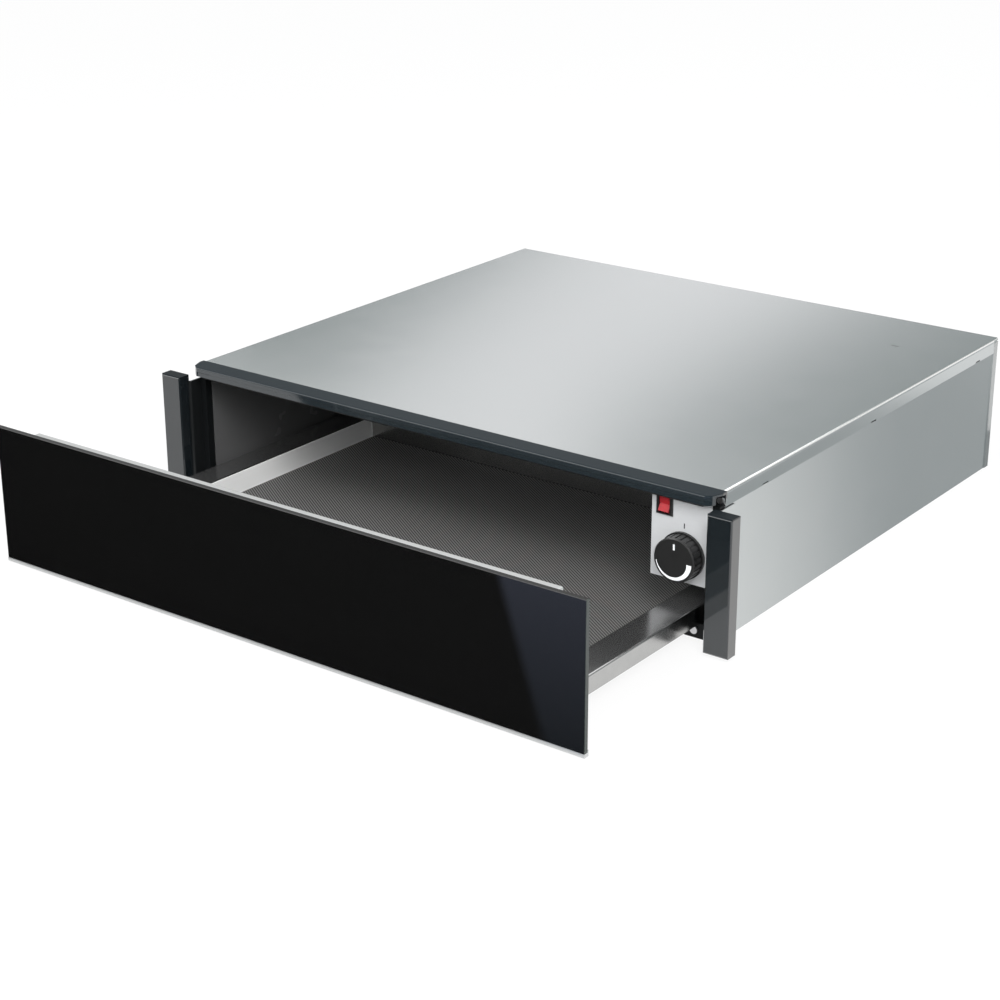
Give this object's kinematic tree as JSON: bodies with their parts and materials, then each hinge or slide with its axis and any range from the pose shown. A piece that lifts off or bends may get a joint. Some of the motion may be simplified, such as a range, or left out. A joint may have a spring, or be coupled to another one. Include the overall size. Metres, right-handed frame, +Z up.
{
  "type": "warming drawer",
  "caption": "Built-in warming drawer: a low steel casing for a cabinet niche and a dark glass front on telescopic slides, with a polished pan, a thermostat knob and a rocker switch.",
  "frame": {"origin": "middle of the casing's underside, which rests on the niche floor", "axes": "+X to the right seen from the front, +Y back into the niche, +Z up"},
  "size_m": [0.597, 0.714, 0.1267],
  "materials": {
    "zinc_steel": "satin zinc-coated sheet",
    "dark_profile": "satin dark grey",
    "black_sheet": "gloss black",
    "black_rubber": "matt",
    "dark_plastic": "gloss dark grey",
    "black_plastic": "matt black",
    "red_plastic": "translucent red",
    "panel_steel": "brushed",
    "dark_glass": "printed black behind",
    "light_strip": "satin",
    "frame_steel": "satin",
    "polished_steel": "polished stainless",
    "mat_rubber": "fine raised texture",
    "screw_steel": "bright",
    "slide_steel": "zinc-plated",
    "ball_steel": "polished",
    "mineral_mat": "fibrous",
    "element_sheath": "heat-darkened",
    "motor_iron": "laminated",
    "winding": "lacquered wire",
    "light_plastic": "matt off-white"
  },
  "bodies": {
    "casing": {"base_panel": "zinc_steel", "side_panel_left": "zinc_steel", "side_panel_right": "zinc_steel", "rear_panel": "zinc_steel", "top_cover": "zinc_steel", "front_rail": "zinc_steel", "front_trim": "dark_profile", "trim_gasket": "black_rubber", "front_surround": "black_sheet", "post_left": "dark_plastic", "post_right": "dark_plastic", "mounting_ear_left": "zinc_steel", "mounting_ear_right": "zinc_steel", "ear_screws": "screw_steel", "surround_screws": "screw_steel", "flange_screws": "screw_steel", "rear_screws": "screw_steel", "liner_left": "black_sheet", "liner_right": "black_sheet", "liner_ceiling": "zinc_steel", "top_insulation": "mineral_mat", "rear_baffle": "zinc_steel", "motor_plate": "zinc_steel", "heating_element": "element_sheath", "fan_motor": "motor_iron", "motor_coil": "winding", "safety_cutout": "black_plastic", "terminal_block": "light_plastic", "cable_inlet": "black_plastic", "control_panel": "panel_steel", "control_box": "zinc_steel", "rocker_housing": "black_plastic", "thermostat_body": "black_plastic", "latch_body": "light_plastic", "slide_outer_left": "slide_steel", "slide_outer_right": "slide_steel", "slide_bracket_left": "zinc_steel", "slide_bracket_right": "zinc_steel"},
    "drawer": {"front_glass": "dark_glass", "glass_bottom_strip": "light_strip", "front_frame": "frame_steel", "drawer_pan": "polished_steel", "silicone_mat": "mat_rubber", "frame_screws": "screw_steel", "stop_buffers": "black_rubber", "latch_striker": "black_plastic", "slide_inner_left": "slide_steel", "slide_inner_right": "slide_steel"},
    "middle_member_left": {"slide_middle_left": "slide_steel"},
    "middle_member_right": {"slide_middle_right": "slide_steel"},
    "outer_cages": {"outer_ball_cages": "ball_steel"},
    "inner_cages": {"inner_ball_cages": "ball_steel"},
    "knob": {"knob": "black_plastic", "thermostat_shaft": "screw_steel"},
    "rocker": {"rocker_key": "red_plastic"},
    "fan": {"fan_impeller": "zinc_steel", "fan_shaft": "screw_steel"},
    "plunger": {"latch_plunger": "black_plastic"}
  },
  "joints": [
    {"name": "drawer_slide", "type": "slide", "parent": "casing", "child": "drawer", "axis": [0, -1, 0], "range_m": [-0.184, 0.166]},
    {"name": "middle_left_slide", "type": "slide", "parent": "casing", "child": "middle_member_left", "axis": [0, -1, 0], "range_m": [-0.092, 0.083]},
    {"name": "middle_right_slide", "type": "slide", "parent": "casing", "child": "middle_member_right", "axis": [0, -1, 0], "range_m": [-0.092, 0.083]},
    {"name": "outer_cages_slide", "type": "slide", "parent": "casing", "child": "outer_cages", "axis": [0, -1, 0], "range_m": [-0.046, 0.0415]},
    {"name": "inner_cages_slide", "type": "slide", "parent": "casing", "child": "inner_cages", "axis": [0, -1, 0], "range_m": [-0.138, 0.1245]},
    {"name": "knob_turn", "type": "hinge", "parent": "casing", "child": "knob", "pos_m": [0.242, -0.251, 0.068], "axis": [0, 1, 0], "range_deg": [0, 245]},
    {"name": "rocker_tip", "type": "hinge", "parent": "casing", "child": "rocker", "pos_m": [0.224, -0.249, 0.1063], "axis": [1, 0, 0], "range_deg": [0, 18]},
    {"name": "fan_spin", "type": "hinge", "parent": "casing", "child": "fan", "pos_m": [0, 0.154, 0.0575], "axis": [0, 1, 0], "continuous": true},
    {"name": "plunger_push", "type": "slide", "parent": "casing", "child": "plunger", "axis": [0, 1, 0], "range_m": [0, 0.008], "stiffness_N_per_m": 400, "springref_m": -0.004}
  ],
  "couplings": [
    {"joint": "middle_left_slide", "follows": "drawer_slide", "ratio": 0.5},
    {"joint": "middle_right_slide", "follows": "drawer_slide", "ratio": 0.5},
    {"joint": "outer_cages_slide", "follows": "drawer_slide", "ratio": 0.25},
    {"joint": "inner_cages_slide", "follows": "drawer_slide", "ratio": 0.75}
  ]
}
